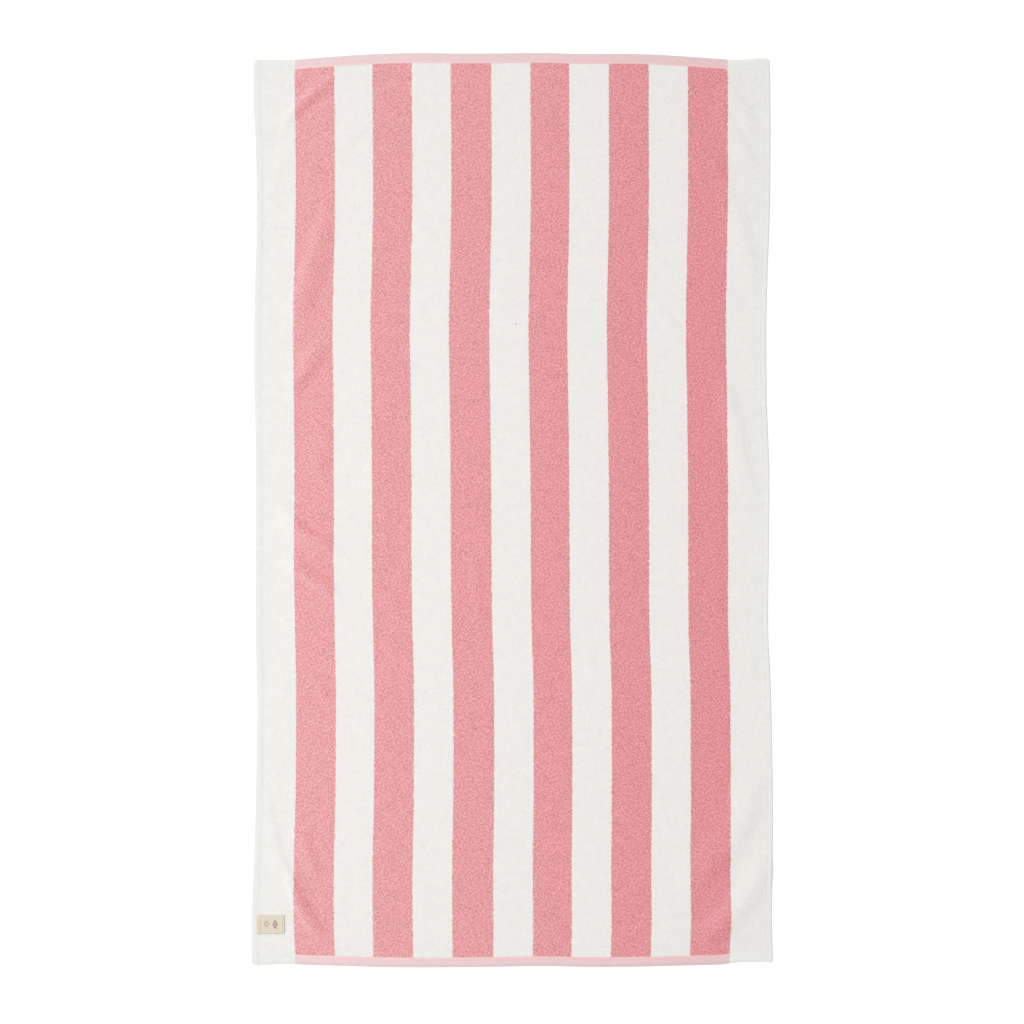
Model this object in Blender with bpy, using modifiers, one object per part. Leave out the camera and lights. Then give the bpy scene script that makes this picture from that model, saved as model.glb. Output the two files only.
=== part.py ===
"""A striped terry beach towel lying face up on a level surface, with its sewn label.

The towel's length runs along Y, its head end at +Y and its foot end, with the label, at -Y.
It rests on z = 0, and the middle of its outline is the origin. Sizes are in metres, and the
tables of edges and folds are in millimetres. Each piece is made of these steps:
a flat cut, its hems, the way it lies, and its thickness.
"""

from math import radians

import bmesh
import bpy
import numpy as np

MM = 0.001

# The finished towel
WIDTH = 0.900
LENGTH = 1.600
CORNER = 0.006  # radius of the turned corners
ROUNDING = 0.0006  # soft edge all round

# Its cloth
TERRY_THICK = 0.0030
END_HEM = 0.0175  # flat-woven header, turned under and stitched
END_HEM_THICK = 0.0022
SIDE_HEM = 0.0115  # turned selvedge
SIDE_HEM_THICK = 0.0026
HEM_STEP = 0.0015  # how far the pile takes to rise beside a hem

# The cells of the flat cut
SIDE_CELL = 0.019  # beside the long edges, where most folds are
SIDE_ZONE = 0.210
MIDDLE_CELL = 0.060
ALONG_CELL = 0.022

# The label, a woven tape with both ends turned under
LABEL_SIZE = (0.0483, 0.0324)
LABEL_MIDDLE = (-0.4230, -0.7267)
LABEL_TAPE = 0.0007
LABEL_TURN = 0.0055
LABEL_GAP = 0.0003  # clear of the terry that it is sewn to
LABEL_ROUNDING = 0.0002

# Where each edge lies: mm along it from its middle, mm outwards of a straight edge
LEFT_EDGE = (
    (-800, 7.6), (-711, 7.1), (-606, 3.1), (-466, -1.1), (-326, -2.9), (-221, 0.1),
    (-11, -0.8), (129, -0.1), (199, 2.0), (304, 2.4), (374, 1.9), (514, -2.0),
    (584, -1.6), (654, 0.6), (724, 3.3), (800, 2.9),
)
RIGHT_EDGE = (
    (-800, 7.4), (-746, 4.7), (-676, 4.5), (-536, 6.4), (-431, 5.0), (-291, 1.7),
    (-221, -1.7), (-81, -1.1), (94, -0.8), (164, -3.6), (269, -5.3), (339, -5.1),
    (444, -2.0), (514, 0.6), (619, 1.9), (724, 1.7), (800, 0.6),
)
HEAD_EDGE = (
    (-450, -12.7), (-382, -12.7), (-337, -8.3), (-302, -5.1), (-232, -1.5), (-162, 0.6),
    (48, 0.6), (118, -0.8), (223, -1.3), (293, -4.8), (363, -10.0), (393, -11.8),
    (440, -9.2), (450, -9.7),
)
FOOT_EDGE = (
    (-450, -2.9), (-424, -3.7), (-392, -5.1), (-366, -2.7), (-302, -1.8), (-232, 0.3),
    (-57, 0.6), (48, -1.3), (153, 0.5), (223, 0.5), (328, -3.0), (363, -2.7),
    (388, -6.5), (419, -8.5), (450, -7.6),
)

# The main folds, each a soft ridge: the start, middle and end of its crest, how far it slopes
# down to the left and to the right of its run, and its height, all in mm
FOLDS = (
    # start        middle        end           left right high
    (-428, 559, -383, 700, -316, 757, 27, 18, 3.6),  # round the head's left corner
    (-312, 507, -340, 428, -384, 350, 20, 34, 4.0),  # long ones down the left side
    (-322, 318, -351, 270, -386, 222, 16, 28, 3.2),
    (-384, -22, -345, -42, -304, -74, 16, 20, 2.4),
    (-382, -88, -346, -118, -306, -150, 15, 22, 3.2),
    (-431, -491, -396, -634, -318, -764, 15, 30, 3.2),  # round the foot's left corner
    (424, -484, 379, -624, 262, -717, 20, 38, 3.4),  # round the foot's right corner
    (434, -630, 381, -715, 312, -764, 17, 22, 3.2),
    (366, 738, 398, 700, 428, 640, 15, 22, 2.6),  # round the head's right corner
    (372, 690, 409, 629, 434, 548, 15, 26, 2.6),
    (398, 508, 416, 445, 430, 378, 15, 26, 2.4),
    (377, 214, 404, 122, 430, 12, 15, 32, 3.2),  # down the right side
)
FOLD_STEPS = 24  # straight pieces that stand for a crest's curve
FOLD_FADE = 0.30  # part of a crest, at each end, over which the fold rises

# name: base colour, roughness
FINISHES = {
    "towel": ((0.83, 0.55, 0.56), 0.95),
    "label": ((0.80, 0.74, 0.62), 0.85),
}


def smooth_line(rows, along):
    """The height of the smooth curve through the table's points, at each place along it."""
    at, out = np.array(rows, float).T * MM
    slope = np.gradient(out, at)
    i = np.clip(np.searchsorted(at, along) - 1, 0, len(at) - 2)
    run = at[i + 1] - at[i]
    t = np.clip((along - at[i]) / run, 0.0, 1.0)
    start = out[i] * (1 + 2 * t) * (1 - t) ** 2 + run * slope[i] * t * (1 - t) ** 2
    end = out[i + 1] * t * t * (3 - 2 * t) + run * slope[i + 1] * t * t * (t - 1)
    return start + end


def crest_of(row):
    """Points along a fold's crest, a smooth curve through its start, middle and end."""
    start, middle, end = np.array(row[:6], float).reshape(3, 2) * MM
    t = np.linspace(0.0, 1.0, FOLD_STEPS + 1)[:, None]
    pull = 2 * middle - (start + end) / 2
    return (1 - t) ** 2 * start + 2 * t * (1 - t) * pull + t**2 * end


def fold_height(row, x, y):
    """How high one fold lifts the cloth at each place."""
    crest = crest_of(row)
    leg = np.diff(crest, axis=0)
    off = np.stack([x, y], -1)[:, None] - crest[:-1]
    part = np.clip((off * leg).sum(-1) / (leg**2).sum(-1), 0.0, 1.0)
    apart = off - part[..., None] * leg
    gap = np.hypot(apart[..., 0], apart[..., 1])
    near = gap.argmin(1)
    pick = np.arange(len(x)), near
    on_left = leg[near, 0] * apart[pick][:, 1] > leg[near, 1] * apart[pick][:, 0]
    reach = np.where(on_left, row[6], row[7]) * MM
    run = (near + part[pick]) / FOLD_STEPS
    fade = np.clip(np.minimum(run, 1 - run) / FOLD_FADE, 0.0, 1.0)
    side = np.clip(gap[pick] / reach, 0.0, 1.0)
    return row[8] * MM * np.sin(fade * np.pi / 2) ** 2 * np.cos(side * np.pi / 2) ** 2


def lift(x, y):
    """How far the underside stands off the surface: the highest fold at each place."""
    return np.max([fold_height(row, x, y) for row in FOLDS], axis=0)


def round_corners(across, along):
    """Turns the square corners of the cut into round ones."""
    a = np.clip((np.abs(across) - (WIDTH / 2 - CORNER)) / CORNER, 0.0, 1.0)
    b = np.clip((np.abs(along) - (LENGTH / 2 - CORNER)) / CORNER, 0.0, 1.0)
    across = across - np.sign(across) * CORNER * a * (1 - np.sqrt(1 - b * b / 2))
    along = along - np.sign(along) * CORNER * b * (1 - np.sqrt(1 - a * a / 2))
    return across, along


def laid(across, along):
    """Where each point of the flat cut lies on the surface."""
    across, along = round_corners(across, along)
    up = along / LENGTH + 0.5
    y = along + up * smooth_line(HEAD_EDGE, across) - (1 - up) * smooth_line(FOOT_EDGE, across)
    right = across / WIDTH + 0.5
    x = across + right * smooth_line(RIGHT_EDGE, y) - (1 - right) * smooth_line(LEFT_EDGE, y)
    return x, y


def thickness(across, along):
    """The cloth's thickness: the terry's, stepped down at the hems."""
    from_side = WIDTH / 2 - np.abs(across)
    from_end = LENGTH / 2 - np.abs(along)
    side = np.clip((from_side - SIDE_HEM) / HEM_STEP, 0.0, 1.0)
    end = np.clip((from_end - END_HEM) / HEM_STEP, 0.0, 1.0)
    beside = SIDE_HEM_THICK + (TERRY_THICK - SIDE_HEM_THICK) * side
    return np.where(end < 1, END_HEM_THICK + (beside - END_HEM_THICK) * end, beside)


def stations(half, hem, zone, cell, middle_cell):
    """Lines across half a cut, edge to middle, as places measured from the middle."""
    from_edge = [0, CORNER / 2, CORNER, hem, hem + HEM_STEP]
    count = round((zone - from_edge[-1]) / cell)
    from_edge += list(np.linspace(from_edge[-1], zone, count + 1)[1:])
    count = round((half - zone) / middle_cell)
    from_edge += list(np.linspace(zone, half, count + 1)[1:])
    inward = half - np.array(from_edge)
    return np.concatenate([-inward, inward[-2::-1]])


def flat_cut():
    """The cloth as cut and hemmed, before it is laid out: a grid with closer cells at folds."""
    columns = stations(WIDTH / 2, SIDE_HEM, SIDE_ZONE, SIDE_CELL, MIDDLE_CELL)
    rows = stations(LENGTH / 2, END_HEM, SIDE_ZONE, ALONG_CELL, ALONG_CELL)
    cut = bmesh.new()
    bmesh.ops.create_grid(
        cut, x_segments=len(columns) - 1, y_segments=len(rows) - 1, size=0.5
    )
    for v in cut.verts:
        column = round((v.co.x + 0.5) * (len(columns) - 1))
        row = round((v.co.y + 0.5) * (len(rows) - 1))
        v.co = (columns[column], rows[row], 0.0)

    cells = [[*(v.co[:2] for v in f.verts), f.calc_center_median()[:2]] for f in cut.faces]
    places = np.array(cells).reshape(-1, 2)
    raised = lift(*laid(*places.T)).reshape(len(cells), -1).max(1)
    for f, high in zip(cut.faces, raised, strict=True):
        f.tag = high > 0
    edges = [e for e in cut.edges if any(f.tag for f in e.link_faces)]
    bmesh.ops.subdivide_edges(cut, edges=edges, cuts=1, use_grid_fill=True)
    return cut


def finish(name, mesh):
    """One named piece with its own material, in the towel's collection."""
    piece = bpy.data.objects.new(name, mesh)
    bpy.data.collections["beach_towel"].objects.link(piece)
    colour, rough = FINISHES[name]
    material = bpy.data.materials.new(name)
    material.use_nodes = True
    shader = material.node_tree.nodes["Principled BSDF"]
    shader.inputs["Base Color"].default_value = (*colour, 1.0)
    shader.inputs["Roughness"].default_value = rough
    mesh.materials.append(material)
    return piece


def round_edges(piece, width):
    bevel = piece.modifiers.new("soft edge", "BEVEL")
    bevel.limit_method = "ANGLE"
    bevel.angle_limit = radians(50)
    bevel.width = width
    bevel.segments = 1


def make_towel():
    cut = flat_cut()
    across, along = np.array([v.co[:2] for v in cut.verts]).T
    x, y = laid(across, along)
    for v, place in zip(cut.verts, np.stack([x, y, lift(x, y)], -1), strict=True):
        v.co = place
    mesh = bpy.data.meshes.new("towel")
    cut.to_mesh(mesh)
    cut.free()

    towel = finish("towel", mesh)
    share = thickness(across, along) / TERRY_THICK
    hems = towel.vertex_groups.new(name="cloth")
    for i, weight in enumerate(share):
        hems.add([i], float(weight), "REPLACE")
    body = towel.modifiers.new("cloth", "SOLIDIFY")
    body.thickness = TERRY_THICK
    body.offset = 1.0
    body.vertex_group = hems.name
    round_edges(towel, ROUNDING)


def make_label():
    """The tape seen from its edge is a flat top over two turned ends, run to the tape's width."""
    half = LABEL_SIZE[0] / 2
    section = (
        (-half, 0.0), (-half + LABEL_TURN, 0.0), (-half + LABEL_TURN, LABEL_TAPE),
        (half - LABEL_TURN, LABEL_TAPE), (half - LABEL_TURN, 0.0), (half, 0.0),
        (half, 2 * LABEL_TAPE), (-half, 2 * LABEL_TAPE),
    )
    tape = bmesh.new()
    corners = [tape.verts.new((x, -LABEL_SIZE[1] / 2, z)) for x, z in section]
    side = tape.faces.new(corners)
    run = bmesh.ops.extrude_face_region(tape, geom=[side])["geom"]
    moved = [v for v in run if isinstance(v, bmesh.types.BMVert)]
    bmesh.ops.translate(tape, verts=moved, vec=(0.0, LABEL_SIZE[1], 0.0))
    bmesh.ops.recalc_face_normals(tape, faces=tape.faces)
    mesh = bpy.data.meshes.new("label")
    tape.to_mesh(mesh)
    tape.free()
    label = finish("label", mesh)
    label.location = (*LABEL_MIDDLE, TERRY_THICK + LABEL_GAP)
    round_edges(label, LABEL_ROUNDING)


for old in list(bpy.data.objects):
    bpy.data.objects.remove(old)
bpy.context.scene.collection.children.link(bpy.data.collections.new("beach_towel"))
make_towel()
make_label()
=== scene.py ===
"""The finish of a striped terry beach towel that lies face up on a pale floor.

The cloth is one closed sheet with turned hems. A mat of loops covers each of its stripes,
stitches hold its hems, and a woven label is sewn near its foot. Sizes are in metres, and the
tables are in millimetres. The towel's length runs along Y, with its head end at +Y.
"""

from math import radians

import bmesh
import bpy
import numpy as np
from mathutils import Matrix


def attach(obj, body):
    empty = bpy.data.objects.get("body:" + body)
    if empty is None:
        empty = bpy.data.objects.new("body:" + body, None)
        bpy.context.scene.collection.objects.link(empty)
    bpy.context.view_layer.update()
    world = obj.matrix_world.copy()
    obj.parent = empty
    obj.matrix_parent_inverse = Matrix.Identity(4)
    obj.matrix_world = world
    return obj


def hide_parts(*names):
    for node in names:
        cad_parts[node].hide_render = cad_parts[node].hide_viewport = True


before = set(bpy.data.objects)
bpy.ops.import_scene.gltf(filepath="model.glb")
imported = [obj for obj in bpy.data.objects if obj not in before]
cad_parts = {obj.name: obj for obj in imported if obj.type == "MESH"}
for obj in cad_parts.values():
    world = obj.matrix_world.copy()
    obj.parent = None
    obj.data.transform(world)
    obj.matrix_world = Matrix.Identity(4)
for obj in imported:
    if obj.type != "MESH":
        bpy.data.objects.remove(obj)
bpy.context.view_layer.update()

MM = 0.001

# The finished towel, as the frame's solids have it but for its side hems, 1 mm narrower here
WIDTH = 0.900
LENGTH = 1.600
CORNER = 0.006  # radius of the turned corners
END_HEM = 0.0175  # flat-woven header, turned under and stitched
SIDE_HEM = 0.0105  # turned selvedge

# Widths of the stripes from the left edge, in mm: white first, then rose and white in turn
STRIPES = (
    71.7, 68.7, 67.5, 68.5, 69.1, 70.5, 69.4, 67.3, 69.8, 69.5, 69.1, 69.3, 69.5,
)

# Where each edge lies: mm along it from its middle, mm outwards of a straight edge
LEFT_EDGE = (
    (-800, 4.3), (-711, 3.8), (-606, -0.1), (-466, -3.7), (-326, -5.5), (-221, -2.7),
    (-11, -3.2), (129, -2.5), (199, -0.5), (304, -0.1), (374, -1.0), (514, -5.0),
    (584, -4.2), (654, -2.0), (724, 0.9), (800, 1.0),
)
RIGHT_EDGE = (
    (-800, 8.3), (-746, 5.6), (-676, 5.4), (-536, 7.3), (-431, 5.9), (-291, 2.6),
    (-221, -0.8), (-81, -0.2), (94, 0.1), (164, -2.7), (269, -4.4), (339, -4.2),
    (444, -1.1), (514, 1.5), (619, 2.8), (724, 2.6), (800, 1.5),
)
HEAD_EDGE = (
    (-450, -13.2), (-382, -13.1), (-337, -9.8), (-302, -7.1), (-232, -3.1), (-162, -1.4),
    (-90, -2.3), (-20, -2.0), (48, -1.2), (118, -2.9), (223, -3.1), (293, -6.5),
    (363, -11.4), (393, -13.3), (440, -10.5), (450, -10.8),
)
FOOT_EDGE = (
    (-450, -2.5), (-424, -3.4), (-392, -4.7), (-366, -3.6), (-302, -1.7), (-232, 0.4),
    (-57, 0.5), (48, -1.1), (153, 0.4), (223, -0.2), (328, -2.9), (363, -3.8),
    (388, -6.9), (419, -8.4), (450, -7.2),
)
# How far the rose stripes' borders stray to the right: the first, a middle one and the last
FIRST_ROSE = (
    (-777, 0.3), (-725, -1.8), (-620, -2.0), (-515, 0.7), (-410, 1.8), (-305, 1.8),
    (-200, -0.1), (-95, -1.6), (10, -1.1), (115, -1.3), (220, -2.1), (325, -3.1),
    (430, -0.8), (535, 1.2), (640, 0.9), (745, -0.2),
)
MIDDLE_ROSE = (
    (-777, 1.8), (-620, 2.2), (-450, 1.6), (-200, 1.2), (-60, 0.4), (120, -0.6),
    (300, -0.9), (500, -0.7), (745, -0.6),
)
LAST_ROSE = (
    (-777, 1.0), (-725, 3.2), (-620, 2.3), (-515, 3.1), (-410, 2.7), (-305, 2.0),
    (-200, -1.6), (-95, -1.6), (10, -1.8), (115, -2.6), (220, -4.1), (325, -5.6),
    (430, -4.0), (535, -2.2), (640, -2.1), (745, -2.2),
)

# Folds, each a soft ridge: the start, middle and end of its crest, how far it slopes down to
# the left and to the right of its run, and its height, all in mm
FOLDS = (
    # start        middle        end           left right high
    (-402, 668, -370, 706, -294, 768, 15, 17, 4.4),  # round the head's left corner
    (-438, 494, -411, 590, -380, 664, 26, 26, 1.3),
    (-392, 322, -352, 420, -314, 556, 24, 36, 3.1),  # long ones down the left side
    (-398, 190, -355, 250, -316, 304, 28, 20, 3.0),
    (-404, 12, -356, -44, -288, -56, 14, 30, 4.8),
    (-406, -82, -350, -122, -290, -160, 24, 15, 5.4),
    (-430, -452, -395, -632, -298, -784, 14, 34, 2.4),  # round the foot's left corner
    (432, -424, 388, -576, 270, -680, 34, 50, 4.0),  # round the foot's right corner
    (446, -592, 402, -690, 300, -774, 34, 32, 5.6),
    (362, 752, 397, 707, 432, 644, 22, 32, 2.4),  # round the head's right corner
    (358, 734, 388, 666, 432, 572, 20, 30, 2.2),
    (380, 566, 406, 472, 428, 372, 26, 34, 2.6),
    (364, 244, 390, 148, 418, 12, 22, 30, 3.2),  # down the right side
)
# Faint ones, in the same columns
CREASES = (
    (-300, 637, -274, 656, -246, 678, 24, 14, 1.6),
    (-306, 150, -330, 100, -345, 44, 24, 26, 1.6),
    (-354, -282, -336, -304, -316, -330, 12, 20, 1.2),
    (-390, 736, -366, 762, -334, 786, 14, 14, 1.0),
    (-366, -548, -356, -600, -336, -646, 20, 22, 2.0),
    (-388, -624, -374, -690, -322, -764, 30, 12, 2.8),
    (344, 622, 368, 578, 386, 530, 20, 26, 1.4),
    (238, 360, 272, 338, 306, 288, 12, 24, 1.8),
    (-64, -62, -60, -116, -58, -190, 10, 18, 0.8),
    (143, -214, 140, -270, 138, -330, 10, 18, 0.8),
    (-252, 4, -60, 10, 380, 14, 6, 8, 1.5),  # pressed in when the towel was folded across
    (-104, -377, -60, -378, -30, -378, 6, 8, 0.8),
    (34, -410, 70, -412, 104, -412, 6, 8, 0.8),
)
CREST_STEPS = 24  # straight pieces that stand for a crest's curve
CREST_FADE = 0.30  # part of a crest, at each end, over which the fold rises

# The cloth's height above its underside, mm: mm in from an edge, height there
GROUND = 1.4
END_SECTION = (
    (0, 0.7), (0.5, 1.0), (1.4, 1.3), (2.8, 1.8), (4.6, 2.4), (6, 2.6), (10.4, 2.5), (11.2, 2.2),
    (11.9, 1.9), (12.6, 2.2), (13.4, 2.5), (16.4, 2.4), (17.4, 2.1), (18.2, GROUND),
)
SIDE_SECTION = (
    (0, 0.7), (0.5, 1.2), (1.4, 1.7), (2.6, 2.2), (4.4, 2.6), (6.6, 2.6), (7.4, 2.5),
    (8.0, 2.3), (8.6, 2.5), (9.6, 2.4), (10.6, 2.0), (11.6, GROUND),
)
EDGE_CURL = 0.20  # mm by which the underside turns up at the very edge
EDGE_CURL_IN = 1.6  # mm in from the edge where that begins
END_HEM_STEP = 1.0  # mm along which an end hem's section gives way to what is inside it
PAST_SIDE_HEM = 12.0  # mm in from a side
CORNER_FULL = 3.0  # mm: a side hem this thick would leave a corner as thick as its end hem
PUCKER = 0.10  # mm by which what is sewn is uneven
PUCKER_RISE = 0.6  # mm over the ground at which that is at its full
# Its waves: the share of each, radians to the metre, and radians at the start
PUCKER_WAVES = ((0.5, 640, 0.0), (0.3, 391, 1.3), (0.2, 1130, 0.4))
CELL = 0.0062  # the sheet's cells inside its hems

# The pile
LOOP_ACROSS = 0.00240  # from one loop to the next, across the towel
LOOP_ALONG = 0.00220  # and along it
LOOP_HIGH = {"rose": 0.0015, "white": 0.0011}
LOOP_UNLIKE = 0.6  # how much a loop's height differs from those near it
LOOP_STRAY = 0.0009  # how far a loop strays to any side
PILE_FOOT = 0.00050  # how far the lowest loops stand off the ground
PILE_TUCK = 0.0012  # how far down a mat's outermost points go, under its neighbours
PILE_REACH = 0.0010  # how far a mat runs on under the end hems

# The sewing
END_SEAM = 0.0119  # in from the edge
SIDE_SEAM = 0.0080
STITCH = 0.0029
STITCH_UNEVEN = (0.88, 1.08)  # the least and the most of that length, by chance
STITCH_PITCH = 0.0035
THREAD = 0.0006  # how thick it is

# The label: a woven tape with both ends turned under
LABEL_SIZE = (0.0483, 0.0324)
LABEL_MIDDLE = (-0.4212, -0.7257)
LABEL_BASE = 0.0028  # how high over the floor it lies
LABEL_HIGH = 0.0012  # how high its turned ends stand
LABEL_TURN = 0.0055  # how far they are turned under
LABEL_BEND = 0.15  # part of that length left to the bend
LABEL_TAPE = 0.00040
LABEL_SEAMS = (-0.0177, 0.0219)  # across, from its middle
LABEL_DIP = 0.00022  # how deep they draw it in
LABEL_DIP_REACH = 0.0006  # how far to each side of them
LABEL_SEAM_END = 0.0012  # from their ends to the tape's edges
LABEL_SAG = 0.00028  # how much lower it lies between its turned ends
LABEL_SAG_RUN = 0.002  # how far in from them that takes
LABEL_WAVE = 0.00008  # how uneven its top is
LABEL_WAVES = (420, 160)  # radians to the metre, across and along
# How many points each stretch of it gets
LABEL_STEPS = {"under": 6, "bend": 7, "top": 50, "along": 24, "seam": 12}
# Plain lozenges woven into it, in mm from its middle
LOZENGES = (
    # right, up, wide, high, how dark
    (-6.8, 1.3, 12.0, 13.0, 0.50),
    (8.2, 0.0, 10.0, 16.8, 0.90),
)
LOZENGE_LINE = 0.76  # where its line runs, from 0 at its middle to 1 at its corners
LINE_SHARP = 8.0  # how sharply the line ends
HEART_SHARP = 6.0  # and the heart at its middle
LOZENGE_FULL = 2.0  # what both are at the most, before all over 1 is cut off

# A small dark speck on the middle stripe, and how far it reaches
SPECK = (0.0077, 0.3248)
SPECK_SIZE = 0.0019
SPECK_LIGHT = 0.15  # what it leaves of the light at its middle

# The room, and the photograph's view
FLOOR_SIZE = 12.0
SKY = 0.60
VIEW_WIDTH = 1.792  # what the picture's width takes in
VIEW_MIDDLE = (0.0011, -0.0044)
LENS_MM = 85.0
SENSOR_MM = 36.0


# ---------------------------------------------------------------- how the cloth lies


def smooth_line(rows, along):
    """The height of the smooth curve through the table's points, at each place along it."""
    at, out = np.array(rows, float).T * MM
    slope = np.gradient(out, at)
    i = np.clip(np.searchsorted(at, along) - 1, 0, len(at) - 2)
    run = at[i + 1] - at[i]
    t = np.clip((along - at[i]) / run, 0.0, 1.0)
    start = out[i] * (1 + 2 * t) * (1 - t) ** 2 + run * slope[i] * t * (1 - t) ** 2
    end = out[i + 1] * t * t * (3 - 2 * t) + run * slope[i + 1] * t * t * (t - 1)
    return start + end


def crest_of(row):
    """Points along a fold's crest, a smooth curve through its start, middle and end."""
    start, middle, end = np.array(row[:6], float).reshape(3, 2) * MM
    t = np.linspace(0.0, 1.0, CREST_STEPS + 1)[:, None]
    pull = 2 * middle - (start + end) / 2
    return (1 - t) ** 2 * start + 2 * t * (1 - t) * pull + t**2 * end


def fold_height(row, x, y):
    """How high one fold lifts the cloth at each place."""
    high = np.zeros(len(x))
    crest = crest_of(row)
    reach = max(row[6:8]) * MM
    low, top = crest.min(0) - reach, crest.max(0) + reach
    near = (x > low[0]) & (x < top[0]) & (y > low[1]) & (y < top[1])
    if not near.any():
        return high
    leg = np.diff(crest, axis=0)
    off = np.stack([x[near], y[near]], -1)[:, None] - crest[:-1]
    part = np.clip((off * leg).sum(-1) / (leg**2).sum(-1), 0.0, 1.0)
    apart = off - part[..., None] * leg
    gap = np.hypot(apart[..., 0], apart[..., 1])
    best = gap.argmin(1)
    pick = np.arange(len(best)), best
    on_left = leg[best, 0] * apart[pick][:, 1] > leg[best, 1] * apart[pick][:, 0]
    side = np.clip(gap[pick] / (np.where(on_left, row[6], row[7]) * MM), 0.0, 1.0)
    run = (best + part[pick]) / CREST_STEPS
    fade = np.clip(np.minimum(run, 1 - run) / CREST_FADE, 0.0, 1.0)
    high[near] = np.sin(fade * np.pi / 2) ** 2 * np.cos(side * np.pi / 2) ** 2
    return high * row[8] * MM


def lift(x, y):
    """How far the underside stands off the floor: the highest main fold, plus the creases."""
    folds = np.max([fold_height(row, x, y) for row in FOLDS], axis=0)
    return folds + np.sum([fold_height(row, x, y) for row in CREASES], axis=0)


def round_corners(across, along):
    """Turns the square corners of the cut into round ones."""
    a = np.clip((np.abs(across) - (WIDTH / 2 - CORNER)) / CORNER, 0.0, 1.0)
    b = np.clip((np.abs(along) - (LENGTH / 2 - CORNER)) / CORNER, 0.0, 1.0)
    across = across - np.sign(across) * CORNER * a * (1 - np.sqrt(1 - b * b / 2))
    along = along - np.sign(along) * CORNER * b * (1 - np.sqrt(1 - a * a / 2))
    return across, along


def laid(across, along):
    """Where each point of the flat cut lies on the floor."""
    across, along = round_corners(across, along)
    up = along / LENGTH + 0.5
    y = along + up * smooth_line(HEAD_EDGE, across) - (1 - up) * smooth_line(FOOT_EDGE, across)
    first, last = smooth_line(FIRST_ROSE, y), smooth_line(LAST_ROSE, y)
    rails = (
        (-WIDTH / 2, -smooth_line(LEFT_EDGE, y)),
        (-WIDTH / 2 + STRIPES[0] * MM, first),
        (0.0, (first + last) / 2 + smooth_line(MIDDLE_ROSE, y)),
        (WIDTH / 2 - STRIPES[-1] * MM, last),
        (WIDTH / 2, smooth_line(RIGHT_EDGE, y)),
    )
    place = np.interp(across, [rail for rail, _ in rails], range(len(rails)))
    x = across + sum(
        np.clip(1 - np.abs(place - i), 0, 1) * stray for i, (_, stray) in enumerate(rails)
    )
    return x, y


def borders():
    """Where the stripes begin and end across the cut, from the left edge to the right one."""
    return (np.concatenate([[0], np.cumsum(STRIPES)]) - sum(STRIPES) / 2) * MM


def from_edges(across, along):
    """How far in each point of the cut is from its side and from its end, in mm."""
    return (WIDTH / 2 - np.abs(across)) / MM, (LENGTH / 2 - np.abs(along)) / MM


def pucker(across, along):
    """A slight unevenness of what is sewn, from -1 to 1, drawn up every few stitches."""
    s = across + along
    return sum(share * np.sin(s * turns + start) for share, turns, start in PUCKER_WAVES)


def thickness(across, along):
    """The cloth's thickness: the ground of the terry, and the turned hems round it."""
    side, end = from_edges(across, along)
    at_side = np.interp(side, *np.array(SIDE_SECTION).T)
    at_end = np.interp(end, *np.array(END_SECTION).T)
    in_end = np.clip((END_SECTION[-1][0] - end) / END_HEM_STEP, 0.0, 1.0)
    at_corner = at_end * (at_side / CORNER_FULL)
    thick = at_side + (np.where(side < PAST_SIDE_HEM, at_corner, at_end) - at_side) * in_end
    sewn = np.clip((thick - GROUND) / PUCKER_RISE, 0.0, 1.0)
    return (thick + PUCKER * sewn * pucker(across, along)) * MM


def curl(across, along):
    """How far the underside turns up at the very edge."""
    in_from_edge = np.minimum(*from_edges(across, along))
    return EDGE_CURL * np.clip(1 - in_from_edge / EDGE_CURL_IN, 0.0, 1.0) ** 2 * MM


def underside(across, along):
    """The places of the cloth's underside, as rows of x, y and z."""
    x, y = laid(across, along)
    return np.stack([x, y, lift(x, y) + curl(across, along)], -1)


def face_up(across, along):
    """The places of the cloth's upper face."""
    places = underside(across, along)
    places[:, 2] += thickness(across, along)
    return places


# ---------------------------------------------------------------- building blocks


def give(tree, socket, value):
    """Links a socket to another, or sets its value."""
    if isinstance(value, bpy.types.NodeSocket):
        tree.links.new(value, socket)
    else:
        socket.default_value = value


def add(tree, kind, inputs=None, **settings):
    """A new node with its settings and inputs, an input found by its name or its number."""
    node = tree.nodes.new(kind)
    for name, value in settings.items():
        setattr(node, name, value)
    for name, value in (inputs or {}).items():
        found = node.inputs[name]
        if isinstance(name, str) and not found.enabled:
            found = next(i for i in node.inputs if i.name == name and i.enabled)
        give(tree, found, value)
    return node


def math(tree, operation, *values, clamp=False):
    inputs = dict(enumerate(values))
    return add(tree, "ShaderNodeMath", inputs, operation=operation, use_clamp=clamp).outputs[0]


def mix(tree, share, first, second, blend="MIX"):
    """One colour between two, or blended."""
    inputs = {0: share, 6: first, 7: second}
    node = add(tree, "ShaderNodeMix", inputs, data_type="RGBA", blend_type=blend)
    return node.outputs[2]


def new_tree(name, kind, inputs, outputs):
    """A node tree with named sockets. Each input is a name, a socket type and a value."""
    tree = bpy.data.node_groups.new(name, kind)
    for label, socket, value in inputs:
        made = tree.interface.new_socket(label, in_out="INPUT", socket_type=socket)
        if value is not None:
            made.default_value = value
    for label, socket in outputs:
        tree.interface.new_socket(label, in_out="OUTPUT", socket_type=socket)
    return tree, add(tree, "NodeGroupInput").outputs, add(tree, "NodeGroupOutput").inputs


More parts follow.
